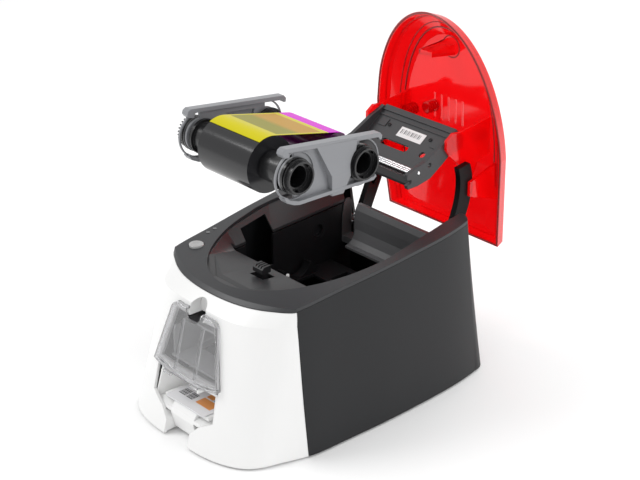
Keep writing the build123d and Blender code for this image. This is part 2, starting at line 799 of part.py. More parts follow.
def make_cover_shell():
    shell = cover_solid(0, 0) - cover_solid(cover_wall, 3)
    for i in range(5):
        x = -18 + 9 * i
        shell = shell - block(x - 1.2, x + 1.2, -29, -3, 140, 200)
    # latch hook boss, closed frame
    boss = slab_x([(-84, 170), (-72, 172), (-77.2, 134), (-82, 134)], -8, 8)
    shell = shell + (boss & cover_solid(0.5, 60))
    # gussets for the two arms, and the ears with the head's pivot pins, closed frame
    for side in (-1, 1):
        x0, x1 = sorted((side * (arm_x1 + 0.3), side * (arm_x1 + 3.3)))
        gusset = slab_x([(18, 176), (60, 178), (44, 133), (30, 133)], x0, x1)
        x0, x1 = sorted((side * ear_x0, side * (ear_x0 + 3.0)))
        ear = slab_x(ear_points, x0, x1)
        shell = shell + ((gusset + ear) & cover_solid(0.5, 60))
        x0, x1 = sorted((side * (ear_x0 - 5.6), side * (ear_x0 + 1.0)))
        shell = shell + rod_x(pivot_radius, x0, x1, pivot_closed_y, pivot_closed_z)
    return shell


pivot_y = 121.0
pivot_z = 219.0
pivot_radius = 2.0
pivot_closed_y = hinge_y + hinge_z - pivot_z
pivot_closed_z = pivot_y + hinge_z - hinge_y
ear_points = [(-14, 110), (-19.4, 118), (-18, 130), (-25, 178), (10, 182), (17, 153), (37, 143), (15, 129), (2, 115), (-5, 110)]
save(opened(make_cover_shell()), "cover_shell")


# ---- black cover arms, drawn open ----
def make_cover_arm(side):
    rear_edge = [(132, 201), (135.5, 190), (136, 178), (133, 160), (127, 145), (119, 128), (112, 108)]
    front_edge = [(98, 108), (102, 124), (109, 141), (116, 158), (120, 178), (119.5, 190), (117, 199)]
    edges = [
        Spline(*rear_edge), Line(rear_edge[-1], front_edge[0]), Spline(*front_edge), Line(front_edge[-1], rear_edge[0]),
    ]
    face = make_face(Wire([curve.edge() for curve in edges]))
    x0 = arm_x0 if side > 0 else -arm_x1
    arm = Pos(x0, 0, 0) * extrude(Plane.YZ * face, arm_x1 - arm_x0)
    arm = arm + rod_x(7, x0, x0 + arm_x1 - arm_x0, hinge_y, hinge_z)
    arm = arm - rod_x(hinge_radius + running, x0 - 1, x0 + 7, hinge_y, hinge_z)
    # hollow channel on the inner face
    channel_profile = [
        (122, 194), (130, 192), (130.5, 180), (127, 162), (120, 148), (116, 150), (121, 163), (124, 179),
    ]
    channel_x0 = x0 - 1 if side > 0 else x0 + 2
    return arm - slab_x(channel_profile, channel_x0, channel_x0 + 5)


save(make_cover_arm(1), "cover_arm_right")
save(make_cover_arm(-1), "cover_arm_left")

# ---- head carriage, drawn open: sloping face plate between two forked side arms ----
face_top = (126.0, 228.5)
face_low = (86.0, 199.5)
face_length = math.hypot(face_top[0] - face_low[0], face_top[1] - face_low[1])
face_dy = (face_top[0] - face_low[0]) / face_length
face_dz = (face_top[1] - face_low[1]) / face_length
face_plane = Plane(origin=(0, face_top[0], face_top[1]), x_dir=(1, 0, 0), z_dir=(0, -face_dz, face_dy))
fork_out = ear_x0 - 0.6
fork_in = fork_out - 4.0


def on_face(x0, x1, s0, s1, low, high):
    centre = Pos((x0 + x1) / 2, -(s0 + s1) / 2, (low + high) / 2)
    return face_plane * centre * Box(x1 - x0, s1 - s0, high - low)


def face_hole(radius, x, s):
    return face_plane * Pos(x, -s, 0) * Cylinder(radius, 20)


def make_carriage():
    plate = on_face(-fork_in, fork_in, 0, face_length, -2.5, 0)
    plate = plate + on_face(-fork_in, fork_in, -3, 3, -6, 1.6)
    plate = plate + on_face(-fork_in, fork_in, 7, 8.5, 0, 1.2)
    plate = plate - on_face(-39, -32, 12, 18, -10, 10)
    plate = plate - on_face(33, 41, 12, 22, -10, 10)
    plate = plate - (on_face(-20, 8, 30, 37, -10, 10))
    plate = plate - face_hole(3.5, -20, 33.5) - face_hole(3.5, 8, 33.5)
    plate = plate - face_hole(3.2, 30, 33)
    arms = [
        (131, 214), (131, 226), (125, 231), (109, 225), (84, 212.5), (72, 209.5), (60.5, 205.5), (60.5, 200.5),
        (66, 199.6), (66, 196.4), (60.5, 195), (61.5, 191.5), (73.4, 191.5), (90, 194.5), (106, 204.5), (116, 211.5),
    ]
    for x0 in (-fork_out, fork_in):
        arm = slab_x(arms, x0, x0 + fork_out - fork_in)
        arm = arm - rod_x(pivot_radius + running, x0 - 1, x0 + 5, pivot_y, pivot_z)
        arm = arm - rod_x(1.8, x0 - 1, x0 + 5, 75.3, 203.6) - rod_x(2.2, x0 - 1, x0 + 5, 88.9, 207.8)
        plate = plate + arm
    return plate


def make_print_head():
    profile = [(86, 196.8), (86, 193.3), (72, 192), (64.5, 192.5), (64.5, 194.8), (70, 198)]
    return slab_x(profile, running - fork_in, fork_in - running)


def make_head_rods():
    rods = block(-45.5, -44.5, 75.5, 84.5, 198.4, 200.0) + block(44.5, 45.5, 75.5, 84.5, 198.4, 200.0)
    for y in (76.6, 80, 83.4):
        rods = rods + rod_x(1.0, -45.5, 45.5, y, 199.5)
    return rods


def make_heat_sink():
    sink = on_face(-42, 42, 10, 27, -7.5, -2.5)
    for i in range(5):
        s0 = 11.6 + 3.2 * i
        sink = sink - on_face(-50, 50, s0, s0 + 1.6, -8, -4)
    return sink


save(make_carriage(), "head_carriage")
save(make_print_head(), "print_head")
save(make_head_rods(), "head_rods")
save(make_heat_sink(), "heat_sink")
save(on_face(-12, 20, 13, 24, 0.05, 0.3), "head_label")


# ---- ribbon cassette, drawn lifted out above the bay ----
plate_out = cassette_plate_x + cassette_plate_thickness


def mirrored(shape):
    return mirror(shape, about=Plane.YZ)


def make_cassette_side():
    front = supply_y
    rear = take_y
    profile = [(front, 272), (front, 230), (front + 5, 226), (rear - 6, 225), (rear, 230), (rear, 263)]
    side = slab_x(profile, cassette_plate_x, plate_out)
    for y, z in ((supply_y, supply_z), (take_y, take_z)):
        side = side + rod_x(core_radius + 3.5, cassette_plate_x, plate_out, y, z)
        side = side + tube_x(21.5, 20.2, plate_out - 0.5, plate_out + 1.5, y, z)
    bar_profile = [
        (-94, 273.4), (7, 261.2), (9, 258.5), (11, 258.5), (11.5, 262), (9, 265),
        (-97, 277.6), (-100, 276), (-101, 273), (-99, 270), (-94, 269), (-93, 271),
    ]
    bar = slab_x(bar_profile, cassette_plate_x - 2, plate_out + 3.5)
    foot_profile = [
        (-86, 229), (-94, 232), (-98, 235.5), (-100, 234), (-97, 230), (-90, 226.5),
        (-84, 225), (1, 223.6), (4.5, 226), (3.5, 228.5), (1, 226.6), (-84, 228.4),
    ]
    foot_bar = slab_x(foot_profile, cassette_plate_x - 1, plate_out + 4.5)
    shape = [(-64, 271), (-18, 266), (-26, 240), (-33, 220.5), (-46, 221.5), (-50, 242)]
    ramp_profile = [
        (plate_out - 0.5, 272), (plate_out + 3.4, 272), (plate_out + 7, 241),
        (plate_out + 3, 220), (plate_out - 0.5, 220),
    ]
    boss = slab_x(shape, plate_out - 1, plate_out + 10) & slab_y(ramp_profile, -80, 0)
    recess = slab_x([(-57, 264), (-24, 260), (-31, 236), (-43, 236)], cassette_plate_x - 1, plate_out + 0.4)
    side = side + boss + bar + foot_bar - recess
    for y, z, radius in ((supply_y, supply_z, knob_radius), (take_y, take_z, take_knob_radius)):
        side = side - rod_x(core_radius + running, 50, 80, y, z)
        side = side - rod_x(radius + 0.6, plate_out, 90, y, z)
    return side


def make_cassette_frame():
    right = make_cassette_side()
    tie = block(-cassette_plate_x - 0.5, cassette_plate_x + 0.5, take_y - 38, take_y - 32, 225, 228)
    return right + mirrored(right) + tie


def make_spool(y, z, knob, left_end):
    gap = plate_out + fit
    spool = rod_x(core_radius, left_end, gap + 0.5, y, z)
    spool = spool + rod_x(knob - 1.8, gap, knob_end, y, z)
    spool = spool + rod_x(knob, gap, gap + 2.8, y, z) + rod_x(knob - 0.6, gap + 3.8, gap + 5.2, y, z)
    for x0 in (roll_half + 1.5, -55.5):
        spool = spool + rod_x(core_radius + 1.3, x0, x0 + 21, y, z)
    spool = spool + rod_x(knob, 54, 57, y, z) + rod_x(knob, -57, -54, y, z)
    spool = spool - rod_x(knob - 3.4, knob_end - 5, knob_end + 5, y, z)
    spool = spool - rod_x(core_radius - 2.5, 40, knob_end + 5, y, z)
    for i in range(3):
        angle = 120 * i + 30
        tab = Pos(knob_end - 4.4, y, z) * Rot(angle, 0, 0) * Pos(0, knob - 3.6, 0) * Box(3, 2, 2.4)
        spool = spool + tab
    return spool


def make_supply_spool():
    spool = make_spool(supply_y, supply_z, knob_radius, -71)
    spool = spool + rod_x(knob_radius, -68, -plate_out - fit, supply_y, supply_z)
    spool = spool - tube_x(knob_radius + 2, knob_radius - 2, -66.8, -65.4, supply_y, supply_z)
    spool = spool + make_gear(knob_radius - 1.4, 30, -74.5, -68.5, supply_y, supply_z, 1.5)
    return spool + rod_x(knob_radius - 4, -69.5, -67, supply_y, supply_z)


save(make_cassette_frame(), "cassette_frame")
save(make_supply_spool(), "supply_spool")
save(make_spool(take_y, take_z, take_knob_radius, -65.7), "take_up_spool")
save(tube_x(supply_roll_radius, core_radius, -roll_half, roll_half, supply_y, supply_z), "supply_roll")
save(tube_x(take_roll_radius, core_radius, -roll_half, roll_half, take_y, take_z), "take_up_roll")

# ribbon web: the straight run is the outer tangent of the two rolls
span_y = take_y - supply_y
span_z = take_z - supply_z
span = math.hypot(span_y, span_z)
lean = math.acos((supply_roll_radius - take_roll_radius) / span)
tangent_angle = math.atan2(span_z, span_y) + lean
normal_y = math.cos(tangent_angle)
normal_z = math.sin(tangent_angle)


def web_point(centre_y, centre_z, radius, angle):
    return (centre_y + radius * math.cos(angle), centre_z + radius * math.sin(angle))


def web_wrap(centre_y, centre_z, radius, start, end):
    steps = 10
    low = []
    high = []
    for i in range(steps + 1):
        angle = start + (end - start) * i / steps
        low.append(web_point(centre_y, centre_z, radius + fit, angle))
        high.append(web_point(centre_y, centre_z, radius + fit + film_thickness, angle))
    return low, high


web_split = 0.84
supply_low, supply_high = web_wrap(supply_y, supply_z, supply_roll_radius, tangent_angle + math.radians(38), tangent_angle)
take_low, take_high = web_wrap(take_y, take_z, take_roll_radius, tangent_angle, tangent_angle - math.radians(30))
split_low = toward(supply_low[-1], take_low[0], web_split)
split_high = toward(supply_high[-1], take_high[0], web_split)
yellow = supply_low + [split_low, split_high] + list(reversed(supply_high))
magenta = [split_low] + take_low + list(reversed(take_high)) + [split_high]
save(slab_x(yellow, -roll_half, roll_half), "ribbon_yellow")
save(slab_x(magenta, -roll_half, roll_half), "ribbon_magenta")
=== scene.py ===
import math
import bpy
import bmesh
from mathutils import Matrix, Vector
from mathutils.bvhtree import BVHTree


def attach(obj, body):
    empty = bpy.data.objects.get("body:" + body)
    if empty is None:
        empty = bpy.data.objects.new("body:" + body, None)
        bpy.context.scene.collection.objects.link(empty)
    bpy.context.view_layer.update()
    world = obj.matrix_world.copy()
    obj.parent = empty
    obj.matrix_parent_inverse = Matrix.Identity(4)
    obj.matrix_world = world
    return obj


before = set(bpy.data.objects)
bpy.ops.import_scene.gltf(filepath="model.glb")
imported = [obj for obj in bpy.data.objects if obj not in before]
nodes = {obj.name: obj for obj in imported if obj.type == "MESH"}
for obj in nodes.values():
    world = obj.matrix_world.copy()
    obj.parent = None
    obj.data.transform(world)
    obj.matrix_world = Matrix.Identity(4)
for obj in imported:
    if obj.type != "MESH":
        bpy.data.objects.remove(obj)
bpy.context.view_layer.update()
MM = 0.001

# ---------------- places shared by several pieces, in mm ----------------
HINGE_Y = 105.0
HINGE_Z = 108.0
SUPPLY_CENTRE = (-86.0, 251.0)
TAKE_UP_CENTRE = (-12.0, 243.0)
CORNER = 10.0  # where the cover's straight sides meet its rounded front


# ---------------- materials ----------------
WHITE_LIGHT = (1.0, 1.0, 1.0, 1)
EVEN = (1, 1, 1)
MIX_A = 6  # colour sockets of a mix node: its two inputs and its result
MIX_B = 7
MIX_RESULT = 2


def new_material(name):
    """A named material with its node tree and its surface shader."""
    m = bpy.data.materials.new(name)
    m.use_nodes = True
    tree = m.node_tree
    return m, tree, tree.nodes["Principled BSDF"]


def link_coords(tree, scale):
    """Object coordinates, scaled."""
    coords = tree.nodes.new("ShaderNodeTexCoord")
    mapping = tree.nodes.new("ShaderNodeMapping")
    mapping.inputs["Scale"].default_value = scale
    tree.links.new(coords.outputs["Object"], mapping.inputs["Vector"])
    return mapping.outputs["Vector"]


def add_grain(tree, shader, color, grain, strength, variation, edge):
    """Fine moulded grain: colour drifts slightly and a small bump breaks up the highlights."""
    fine = tree.nodes.new("ShaderNodeTexNoise")
    fine.inputs["Scale"].default_value = grain
    fine.inputs["Detail"].default_value = 3.0
    tree.links.new(link_coords(tree, EVEN), fine.inputs["Vector"])
    broad = tree.nodes.new("ShaderNodeTexNoise")
    broad.inputs["Scale"].default_value = 18.0
    tree.links.new(link_coords(tree, EVEN), broad.inputs["Vector"])
    ramp = tree.nodes.new("ShaderNodeValToRGB")
    low = tuple(c * (1 - variation) for c in color)
    high = tuple(min(1.0, c * (1 + variation)) for c in color)
    ramp.color_ramp.elements[0].color = (*low, 1)
    ramp.color_ramp.elements[1].color = (*high, 1)
    tree.links.new(broad.outputs["Fac"], ramp.inputs["Fac"])
    tree.links.new(ramp.outputs["Color"], shader.inputs["Base Color"])
    bump = tree.nodes.new("ShaderNodeBump")
    bump.inputs["Strength"].default_value = strength
    bump.inputs["Distance"].default_value = 0.0002
    tree.links.new(fine.outputs["Fac"], bump.inputs["Height"])
    if edge:
        soft = tree.nodes.new("ShaderNodeBevel")
        soft.samples = 4
        soft.inputs["Radius"].default_value = edge * MM
        tree.links.new(soft.outputs["Normal"], bump.inputs["Normal"])
    tree.links.new(bump.outputs["Normal"], shader.inputs["Normal"])


def plastic(name, color, rough, grain=2600.0, strength=0.25, variation=0.05,
            coat=0.0, edge=0.0, shine=0.5):
    """Moulded plastic; edge is the soft radius seen on its corners, in mm."""
    m, tree, shader = new_material(name)
    shader.inputs["Specular IOR Level"].default_value = shine
    shader.inputs["Roughness"].default_value = rough
    shader.inputs["Coat Weight"].default_value = coat
    shader.inputs["Coat Roughness"].default_value = 0.12
    add_grain(tree, shader, color, grain, strength, variation, edge)
    return m


def metal(name, color, rough, stretch=(4, 300, 300)):
    """Metal with fine lines along the axis that is stretched least."""
    m, tree, shader = new_material(name)
    shader.inputs["Metallic"].default_value = 1.0
    noise = tree.nodes.new("ShaderNodeTexNoise")
    noise.inputs["Scale"].default_value = 8.0
    tree.links.new(link_coords(tree, stretch), noise.inputs["Vector"])
    ramp = tree.nodes.new("ShaderNodeMapRange")
    ramp.inputs["To Min"].default_value = rough * 0.7
    ramp.inputs["To Max"].default_value = rough * 1.3
    tree.links.new(noise.outputs["Fac"], ramp.inputs["Value"])
    tree.links.new(ramp.outputs["Result"], shader.inputs["Roughness"])
    tint = tree.nodes.new("ShaderNodeValToRGB")
    tint.color_ramp.elements[0].color = (*[c * 0.9 for c in color], 1)
    tint.color_ramp.elements[1].color = (*color, 1)
    tree.links.new(noise.outputs["Fac"], tint.inputs["Fac"])
    tree.links.new(tint.outputs["Color"], shader.inputs["Base Color"])
    return m


def clear(name, color, rough, transmission, ior=1.45, painted_glow=0.0):
    """See-through plastic with a slight drift of its tint and a faint painted glow in its own colour."""
    m, tree, shader = new_material(name)
    shader.inputs["Roughness"].default_value = rough
    shader.inputs["Transmission Weight"].default_value = transmission
    shader.inputs["IOR"].default_value = ior
    # painted light: the plastic emits in its own tint though it is no lamp, brightening it as if lit
    # through
    shader.inputs["Emission Color"].default_value = (*color, 1)
    shader.inputs["Emission Strength"].default_value = painted_glow
    noise = tree.nodes.new("ShaderNodeTexNoise")
    noise.inputs["Scale"].default_value = 9.0
    tree.links.new(link_coords(tree, EVEN), noise.inputs["Vector"])
    ramp = tree.nodes.new("ShaderNodeValToRGB")
    ramp.color_ramp.elements[0].color = (*[c * 0.94 for c in color], 1)
    ramp.color_ramp.elements[1].color = (*color, 1)
    tree.links.new(noise.outputs["Fac"], ramp.inputs["Fac"])
    tree.links.new(ramp.outputs["Color"], shader.inputs["Base Color"])
    return m


LAYERS_PER_METRE = 9000.0


def wound(name, color, rough, centre):
    """Film wound on a core: concentric layer lines on the end faces, glossy outside."""
    m, tree, shader = new_material(name)
    coords = tree.nodes.new("ShaderNodeTexCoord")
    split = tree.nodes.new("ShaderNodeSeparateXYZ")
    tree.links.new(coords.outputs["Object"], split.inputs["Vector"])
    terms = []
    for output, middle in zip(("Y", "Z"), centre):
        shift = tree.nodes.new("ShaderNodeMath")
        shift.operation = "SUBTRACT"
        shift.inputs[1].default_value = middle * MM
        tree.links.new(split.outputs[output], shift.inputs[0])
        square = tree.nodes.new("ShaderNodeMath")
        square.operation = "MULTIPLY"
        tree.links.new(shift.outputs[0], square.inputs[0])
        tree.links.new(shift.outputs[0], square.inputs[1])
        terms.append(square)
    total = tree.nodes.new("ShaderNodeMath")
    tree.links.new(terms[0].outputs[0], total.inputs[0])
    tree.links.new(terms[1].outputs[0], total.inputs[1])
    root = tree.nodes.new("ShaderNodeMath")
    root.operation = "SQRT"
    tree.links.new(total.outputs[0], root.inputs[0])
    layers = tree.nodes.new("ShaderNodeMath")
    layers.operation = "MULTIPLY"
    layers.inputs[1].default_value = LAYERS_PER_METRE
    tree.links.new(root.outputs[0], layers.inputs[0])
    wave = tree.nodes.new("ShaderNodeMath")
    wave.operation = "SINE"
    tree.links.new(layers.outputs[0], wave.inputs[0])
    tone = tree.nodes.new("ShaderNodeMapRange")
    tone.inputs["From Min"].default_value = -1.0
    tree.links.new(wave.outputs[0], tone.inputs["Value"])
    ramp = tree.nodes.new("ShaderNodeValToRGB")
    ramp.color_ramp.elements[0].color = (*[c * 0.7 for c in color], 1)
    ramp.color_ramp.elements[1].color = (*[min(1, c * 1.25) for c in color], 1)
    tree.links.new(tone.outputs["Result"], ramp.inputs["Fac"])
    tree.links.new(ramp.outputs["Color"], shader.inputs["Base Color"])
    shader.inputs["Roughness"].default_value = rough
    return m


WINDOW_FRONT = -0.078  # the film's window, in metres: front, rear and half its width
WINDOW_REAR = -0.024
WINDOW_HALF = 0.0305


def film(name, border, near, far, alpha):
    """Dye film: a bright border round a see-through window that warms toward the take-up roll; for the
    yellow film the darker olive window colour is painted shade, the dark beneath the film showing
    through.
    """
    m, tree, shader = new_material(name)
    split = tree.nodes.new("ShaderNodeSeparateXYZ")
    tree.links.new(link_coords(tree, EVEN), split.inputs["Vector"])
    along = tree.nodes.new("ShaderNodeMapRange")
    along.inputs["From Min"].default_value = WINDOW_FRONT
    along.inputs["From Max"].default_value = WINDOW_REAR
    tree.links.new(split.outputs["Y"], along.inputs["Value"])
    ramp = tree.nodes.new("ShaderNodeValToRGB")
    ramp.color_ramp.elements[0].color = (*border, 1)
    ramp.color_ramp.elements[1].color = (*border, 1)
    stops = ((0.02, border), (0.04, near), (0.4, near), (0.55, far), (0.95, far), (0.97, border))
    for spot, color in stops:
        ramp.color_ramp.elements.new(spot).color = (*color, 1)
    tree.links.new(along.outputs["Result"], ramp.inputs["Fac"])
    across = tree.nodes.new("ShaderNodeMath")
    across.operation = "ABSOLUTE"
    tree.links.new(split.outputs["X"], across.inputs[0])
    outside = tree.nodes.new("ShaderNodeMath")
    outside.operation = "GREATER_THAN"
    outside.inputs[1].default_value = WINDOW_HALF
    tree.links.new(across.outputs[0], outside.inputs[0])
    mix = tree.nodes.new("ShaderNodeMix")
    mix.data_type = "RGBA"
    tree.links.new(outside.outputs[0], mix.inputs["Factor"])
    tree.links.new(ramp.outputs["Color"], mix.inputs[MIX_A])
    mix.inputs[MIX_B].default_value = (*border, 1)
    tree.links.new(mix.outputs[MIX_RESULT], shader.inputs["Base Color"])
    shader.inputs["Roughness"].default_value = 0.2
    shader.inputs["Specular IOR Level"].default_value = 0.1
    shader.inputs["Alpha"].default_value = alpha
    return m


white = plastic("white_shell", (0.87, 0.87, 0.865), 0.36,
                variation=0.012, strength=0.08, coat=0.1, edge=0.8)
dark = plastic("dark_shell", (0.0125, 0.013, 0.0145), 0.42,
               grain=3200.0, strength=0.3, edge=0.8, shine=0.32)
rim_grey = plastic("rim_shell", (0.034, 0.035, 0.038), 0.36,
                   grain=3200.0, strength=0.25, edge=0.9, shine=0.42)
deck_grey = plastic("deck_shell", (0.034, 0.035, 0.037), 0.34, grain=2800.0, strength=0.2, edge=0.7)
black = plastic("black_moulding", (0.011, 0.011, 0.0125), 0.36,
                strength=0.25, variation=0.15, edge=0.5, shine=0.4)
arm_black = plastic("arm_moulding", (0.006, 0.0055, 0.006), 0.4, strength=0.2, edge=0.4, shine=0.15)
beam_grey = plastic("beam_moulding", (0.1, 0.1, 0.104), 0.38, strength=0.25, edge=0.5)
carriage_grey = plastic("carriage_moulding", (0.042, 0.042, 0.045), 0.38,
                        strength=0.25, variation=0.08, edge=0.5)
deep_black = plastic("spool_moulding", (0.009, 0.009, 0.01), 0.27,
                     strength=0.12, variation=0.2, coat=0.2, edge=0.4)
cassette_grey = plastic("cassette_moulding", (0.25, 0.255, 0.27), 0.36,
                        strength=0.2, variation=0.03, edge=0.6)
tray_grey = plastic("hopper_moulding", (0.5, 0.5, 0.51), 0.45)
rubber = plastic("roller_rubber", (0.018, 0.018, 0.019), 0.75, grain=4200.0, strength=0.6)
card_white = plastic("card_face", (0.8, 0.8, 0.82), 0.22, strength=0.03, variation=0.01, coat=0.4)
label_white = plastic("label_face", (0.82, 0.82, 0.82), 0.5, strength=0.05, variation=0.01)
peg_white = plastic("peg_moulding", (0.75, 0.75, 0.74), 0.4, strength=0.05, edge=0.3)
button_grey = plastic("button_cap", (0.4, 0.4, 0.4), 0.26, strength=0.05, variation=0.02, coat=0.4)
lens_grey = plastic("light_lens", (0.1, 0.1, 0.105), 0.22, coat=0.5)
board_green = plastic("board_laminate", (0.02, 0.14, 0.05), 0.4)
red_edge = plastic("red_edge", (0.2, 0.0, 0.002), 0.2, strength=0.02, variation=0.05, coat=0.5)
# the red cover, red ribs and smoke cover get a painted glow: painted light that makes them shine in
# their tint
red_clear = clear("red_cover", (0.93, 0.004, 0.006), 0.08, 0.62, painted_glow=0.1)
red_rib = clear("red_rib", (0.78, 0.002, 0.004), 0.12, 0.5, painted_glow=0.05)
smoke_clear = clear("smoke_cover", (0.8, 0.8, 0.81), 0.08, 0.9, ior=1.35, painted_glow=0.02)
# the yellow film's dark olive window colour is painted shade: the dark under its free span seen through
# the film
film_yellow = film("film_yellow", (0.62, 0.55, 0.01), (0.27, 0.25, 0.01), (0.5, 0.27, 0.01), 0.94)
film_magenta = film("film_magenta", (0.62, 0.001, 0.58), (0.62, 0.001, 0.58), (0.5, 0.001, 0.48), 1.0)
steel = metal("shaft_steel", (0.62, 0.62, 0.63), 0.22)
bright = metal("bright_rod", (0.92, 0.92, 0.94), 0.07)
sink_metal = metal("sink_metal", (0.45, 0.46, 0.47), 0.35, stretch=(300, 6, 6))
can_metal = metal("motor_can", (0.5, 0.51, 0.52), 0.3)
ink_black = plastic("ink_black", (0.02, 0.02, 0.025), 0.3, strength=0.02)
ink_grey = plastic("ink_grey", (0.3, 0.31, 0.33), 0.3, strength=0.02)
ink_orange = plastic("ink_orange", (0.75, 0.3, 0.08), 0.3, strength=0.02)
ink_blue = plastic("ink_blue", (0.1, 0.22, 0.45), 0.3, strength=0.02)
supply_wound = wound("supply_film", (0.016, 0.016, 0.018), 0.16, SUPPLY_CENTRE)
take_wound = wound("take_up_film", (0.075, 0.006, 0.068), 0.18, TAKE_UP_CENTRE)

by_node = {
    "front_panel": white, "card_tray": white, "housing": dark, "base_plate": dark, "top_rim": rim_grey,
    "deck": deck_grey, "card_hopper": tray_grey, "printed_card": card_white, "card_cover": smoke_clear,
    "power_button": button_grey, "indicator_light_1": lens_grey, "indicator_light_2": lens_grey,
    "cover_shell": red_clear, "cassette_frame": cassette_grey, "supply_spool": deep_black,
    "take_up_spool": deep_black, "supply_roll": supply_wound, "take_up_roll": take_wound,
    "ribbon_yellow": film_yellow, "ribbon_magenta": film_magenta, "head_rods": bright,
    "heat_sink": sink_metal, "head_label": label_white, "main_motor": can_metal, "drive_belt": rubber,
    "circuit_board": board_green, "usb_socket": steel, "card_bed": sink_metal, "motor_pulley": steel,
    "cover_arm_left": arm_black, "cover_arm_right": arm_black, "rear_beam": beam_grey,
    "hinge_post_left": steel, "hinge_post_right": steel, "head_carriage": carriage_grey,
}
for name, node in nodes.items():
    material = by_node.get(name, black)
    if name.endswith("_roller") or name.startswith("foot_"):
        material = rubber
    if name.endswith("_shaft"):
        material = steel
    node.data.materials.clear()
    node.data.materials.append(material)


# ---------------- mesh helpers, sizes in mm ----------------
def make_piece(name, bm, body, material, bevel=0.0):
    """Turns a mesh drawn in mm into a piece that moves with its body."""
    mesh = bpy.data.meshes.new(name)
    bmesh.ops.recalc_face_normals(bm, faces=bm.faces)
    bmesh.ops.scale(bm, vec=(MM, MM, MM), verts=bm.verts)
    bm.to_mesh(mesh)
    bm.free()
    piece = bpy.data.objects.new(name, mesh)
    bpy.context.scene.collection.objects.link(piece)
    mesh.materials.append(material)
    if bevel:
        mod = piece.modifiers.new("edge", "BEVEL")
        mod.width = bevel * MM
        mod.segments = 2
        mod.limit_method = "ANGLE"
    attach(piece, body)


BOX_FACES = ((0, 1, 3, 2), (4, 6, 7, 5), (0, 4, 5, 1), (2, 3, 7, 6), (0, 2, 6, 4), (1, 5, 7, 3))


def add_box(bm, x0, x1, y0, y1, z0, z1, matrix=None):
    corners = [(x, y, z) for x in (x0, x1) for y in (y0, y1) for z in (z0, z1)]
    verts = [bm.verts.new(matrix @ Vector(c) if matrix else c) for c in corners]
    for face in BOX_FACES:
        bm.faces.new([verts[i] for i in face])


def add_lathe(bm, profile, matrix, steps=48):
    """Turns (along, radius) points about the local X axis."""
    rings = []
    for along, radius in profile:
        ring = []
        for i in range(steps):
            angle = 2 * math.pi * i / steps
            point = Vector((along, radius * math.cos(angle), radius * math.sin(angle)))
            ring.append(bm.verts.new(matrix @ point))
        rings.append(ring)
    for a, b in zip(rings, rings[1:]):
        for i in range(steps):
            j = (i + 1) % steps
            bm.faces.new((a[i], a[j], b[j], b[i]))
    bm.faces.new(rings[0])
    bm.faces.new(list(reversed(rings[-1])))


# ---------------- camera, floor and light ----------------
camera_distance = 1.437
target = Vector((0, 0, 0.1433))
back = Vector((0.6735, -0.6064, 0.4226))
camera_data = bpy.data.cameras.new("camera")
camera_data.lens = 88.6
camera_data.sensor_width = 36.0
camera = bpy.data.objects.new("camera", camera_data)
camera.location = target + back * camera_distance
camera.rotation_euler = (-back).to_track_quat("-Z", "Y").to_euler()
bpy.context.scene.collection.objects.link(camera)
bpy.context.scene.camera = camera

reach = 4
corners = [(-reach, -reach, 0), (reach, -reach, 0), (reach, reach, 0), (-reach, reach, 0)]
floor_mesh = bpy.data.meshes.new("floor")
floor_mesh.from_pydata(corners, [], [(0, 1, 2, 3)])
floor = bpy.data.objects.new("floor", floor_mesh)
bpy.context.scene.collection.objects.link(floor)
floor_mat = plastic("floor_paint", (0.93, 0.93, 0.93), 0.7,
                    grain=300.0, strength=0.02, variation=0.004)
floor_shader = floor_mat.node_tree.nodes["Principled BSDF"]
floor_shader.inputs["Emission Color"].default_value = WHITE_LIGHT
floor_shader.inputs["Emission Strength"].default_value = 0.05
floor_mesh.materials.append(floor_mat)

bpy.context.scene.view_settings.view_transform = "Standard"
world = bpy.data.worlds.new("world")
bpy.context.scene.world = world
world.use_nodes = True
sky = world.node_tree.nodes["Background"]
sky.inputs["Color"].default_value = WHITE_LIGHT
sky.inputs["Strength"].default_value = 0.8


def area_light(name, location, aim, size, power):
    """A soft rectangular light that faces aim."""
    data = bpy.data.lights.new(name, "AREA")
    data.shape = "RECTANGLE"
    data.size = size[0]
    data.size_y = size[1]
    data.energy = power
    light = bpy.data.objects.new(name, data)
    light.location = location
    light.rotation_euler = (Vector(aim) - Vector(location)).to_track_quat("-Z", "Y").to_euler()
    bpy.context.scene.collection.objects.link(light)


area_light("key", (-0.9, -1.0, 1.5), (0, 0, 0.15), (0.8, 0.6), 11)
area_light("side", (1.4, 0.3, 0.9), (0, 0, 0.15), (0.5, 0.8), 4)
area_light("rear", (0.1, 1.2, 1.1), (0, 0.1, 0.2), (1.2, 0.6), 7)


# ---------------- beads, screws and the cover's outlines ----------------
def opened(x, y, z):
    """A point of the closed cover, in mm, where the cover stands open."""
    return (x, HINGE_Y + z - HINGE_Z, HINGE_Z + HINGE_Y - y)


def tube(name, points, radius, body, material, closed=False):
    """A round bead along points in mm."""
    curve = bpy.data.curves.new(name, "CURVE")
    curve.dimensions = "3D"
    curve.bevel_depth = radius * MM
    curve.bevel_resolution = 3
    curve.use_fill_caps = True
    spline = curve.splines.new("POLY")
    spline.points.add(len(points) - 1)
    for spot, point in zip(spline.points, points):
        spot.co = (*[c * MM for c in point], 1)
    spline.use_cyclic_u = closed
    piece = bpy.data.objects.new(name, curve)
    curve.materials.append(material)
    bpy.context.scene.collection.objects.link(piece)
    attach(piece, body)


def facing(origin, direction):
    """A matrix whose local X runs along direction from origin."""
    turn = Vector(direction).to_track_quat("X", "Z").to_matrix().to_4x4()
    return Matrix.Translation(Vector(origin)) @ turn


# half sections as (along the axis, radius)
SCREW = [(0, 2.4), (0.7, 2.4), (1.1, 2.0), (1.1, 1.0), (0.4, 1.0)]


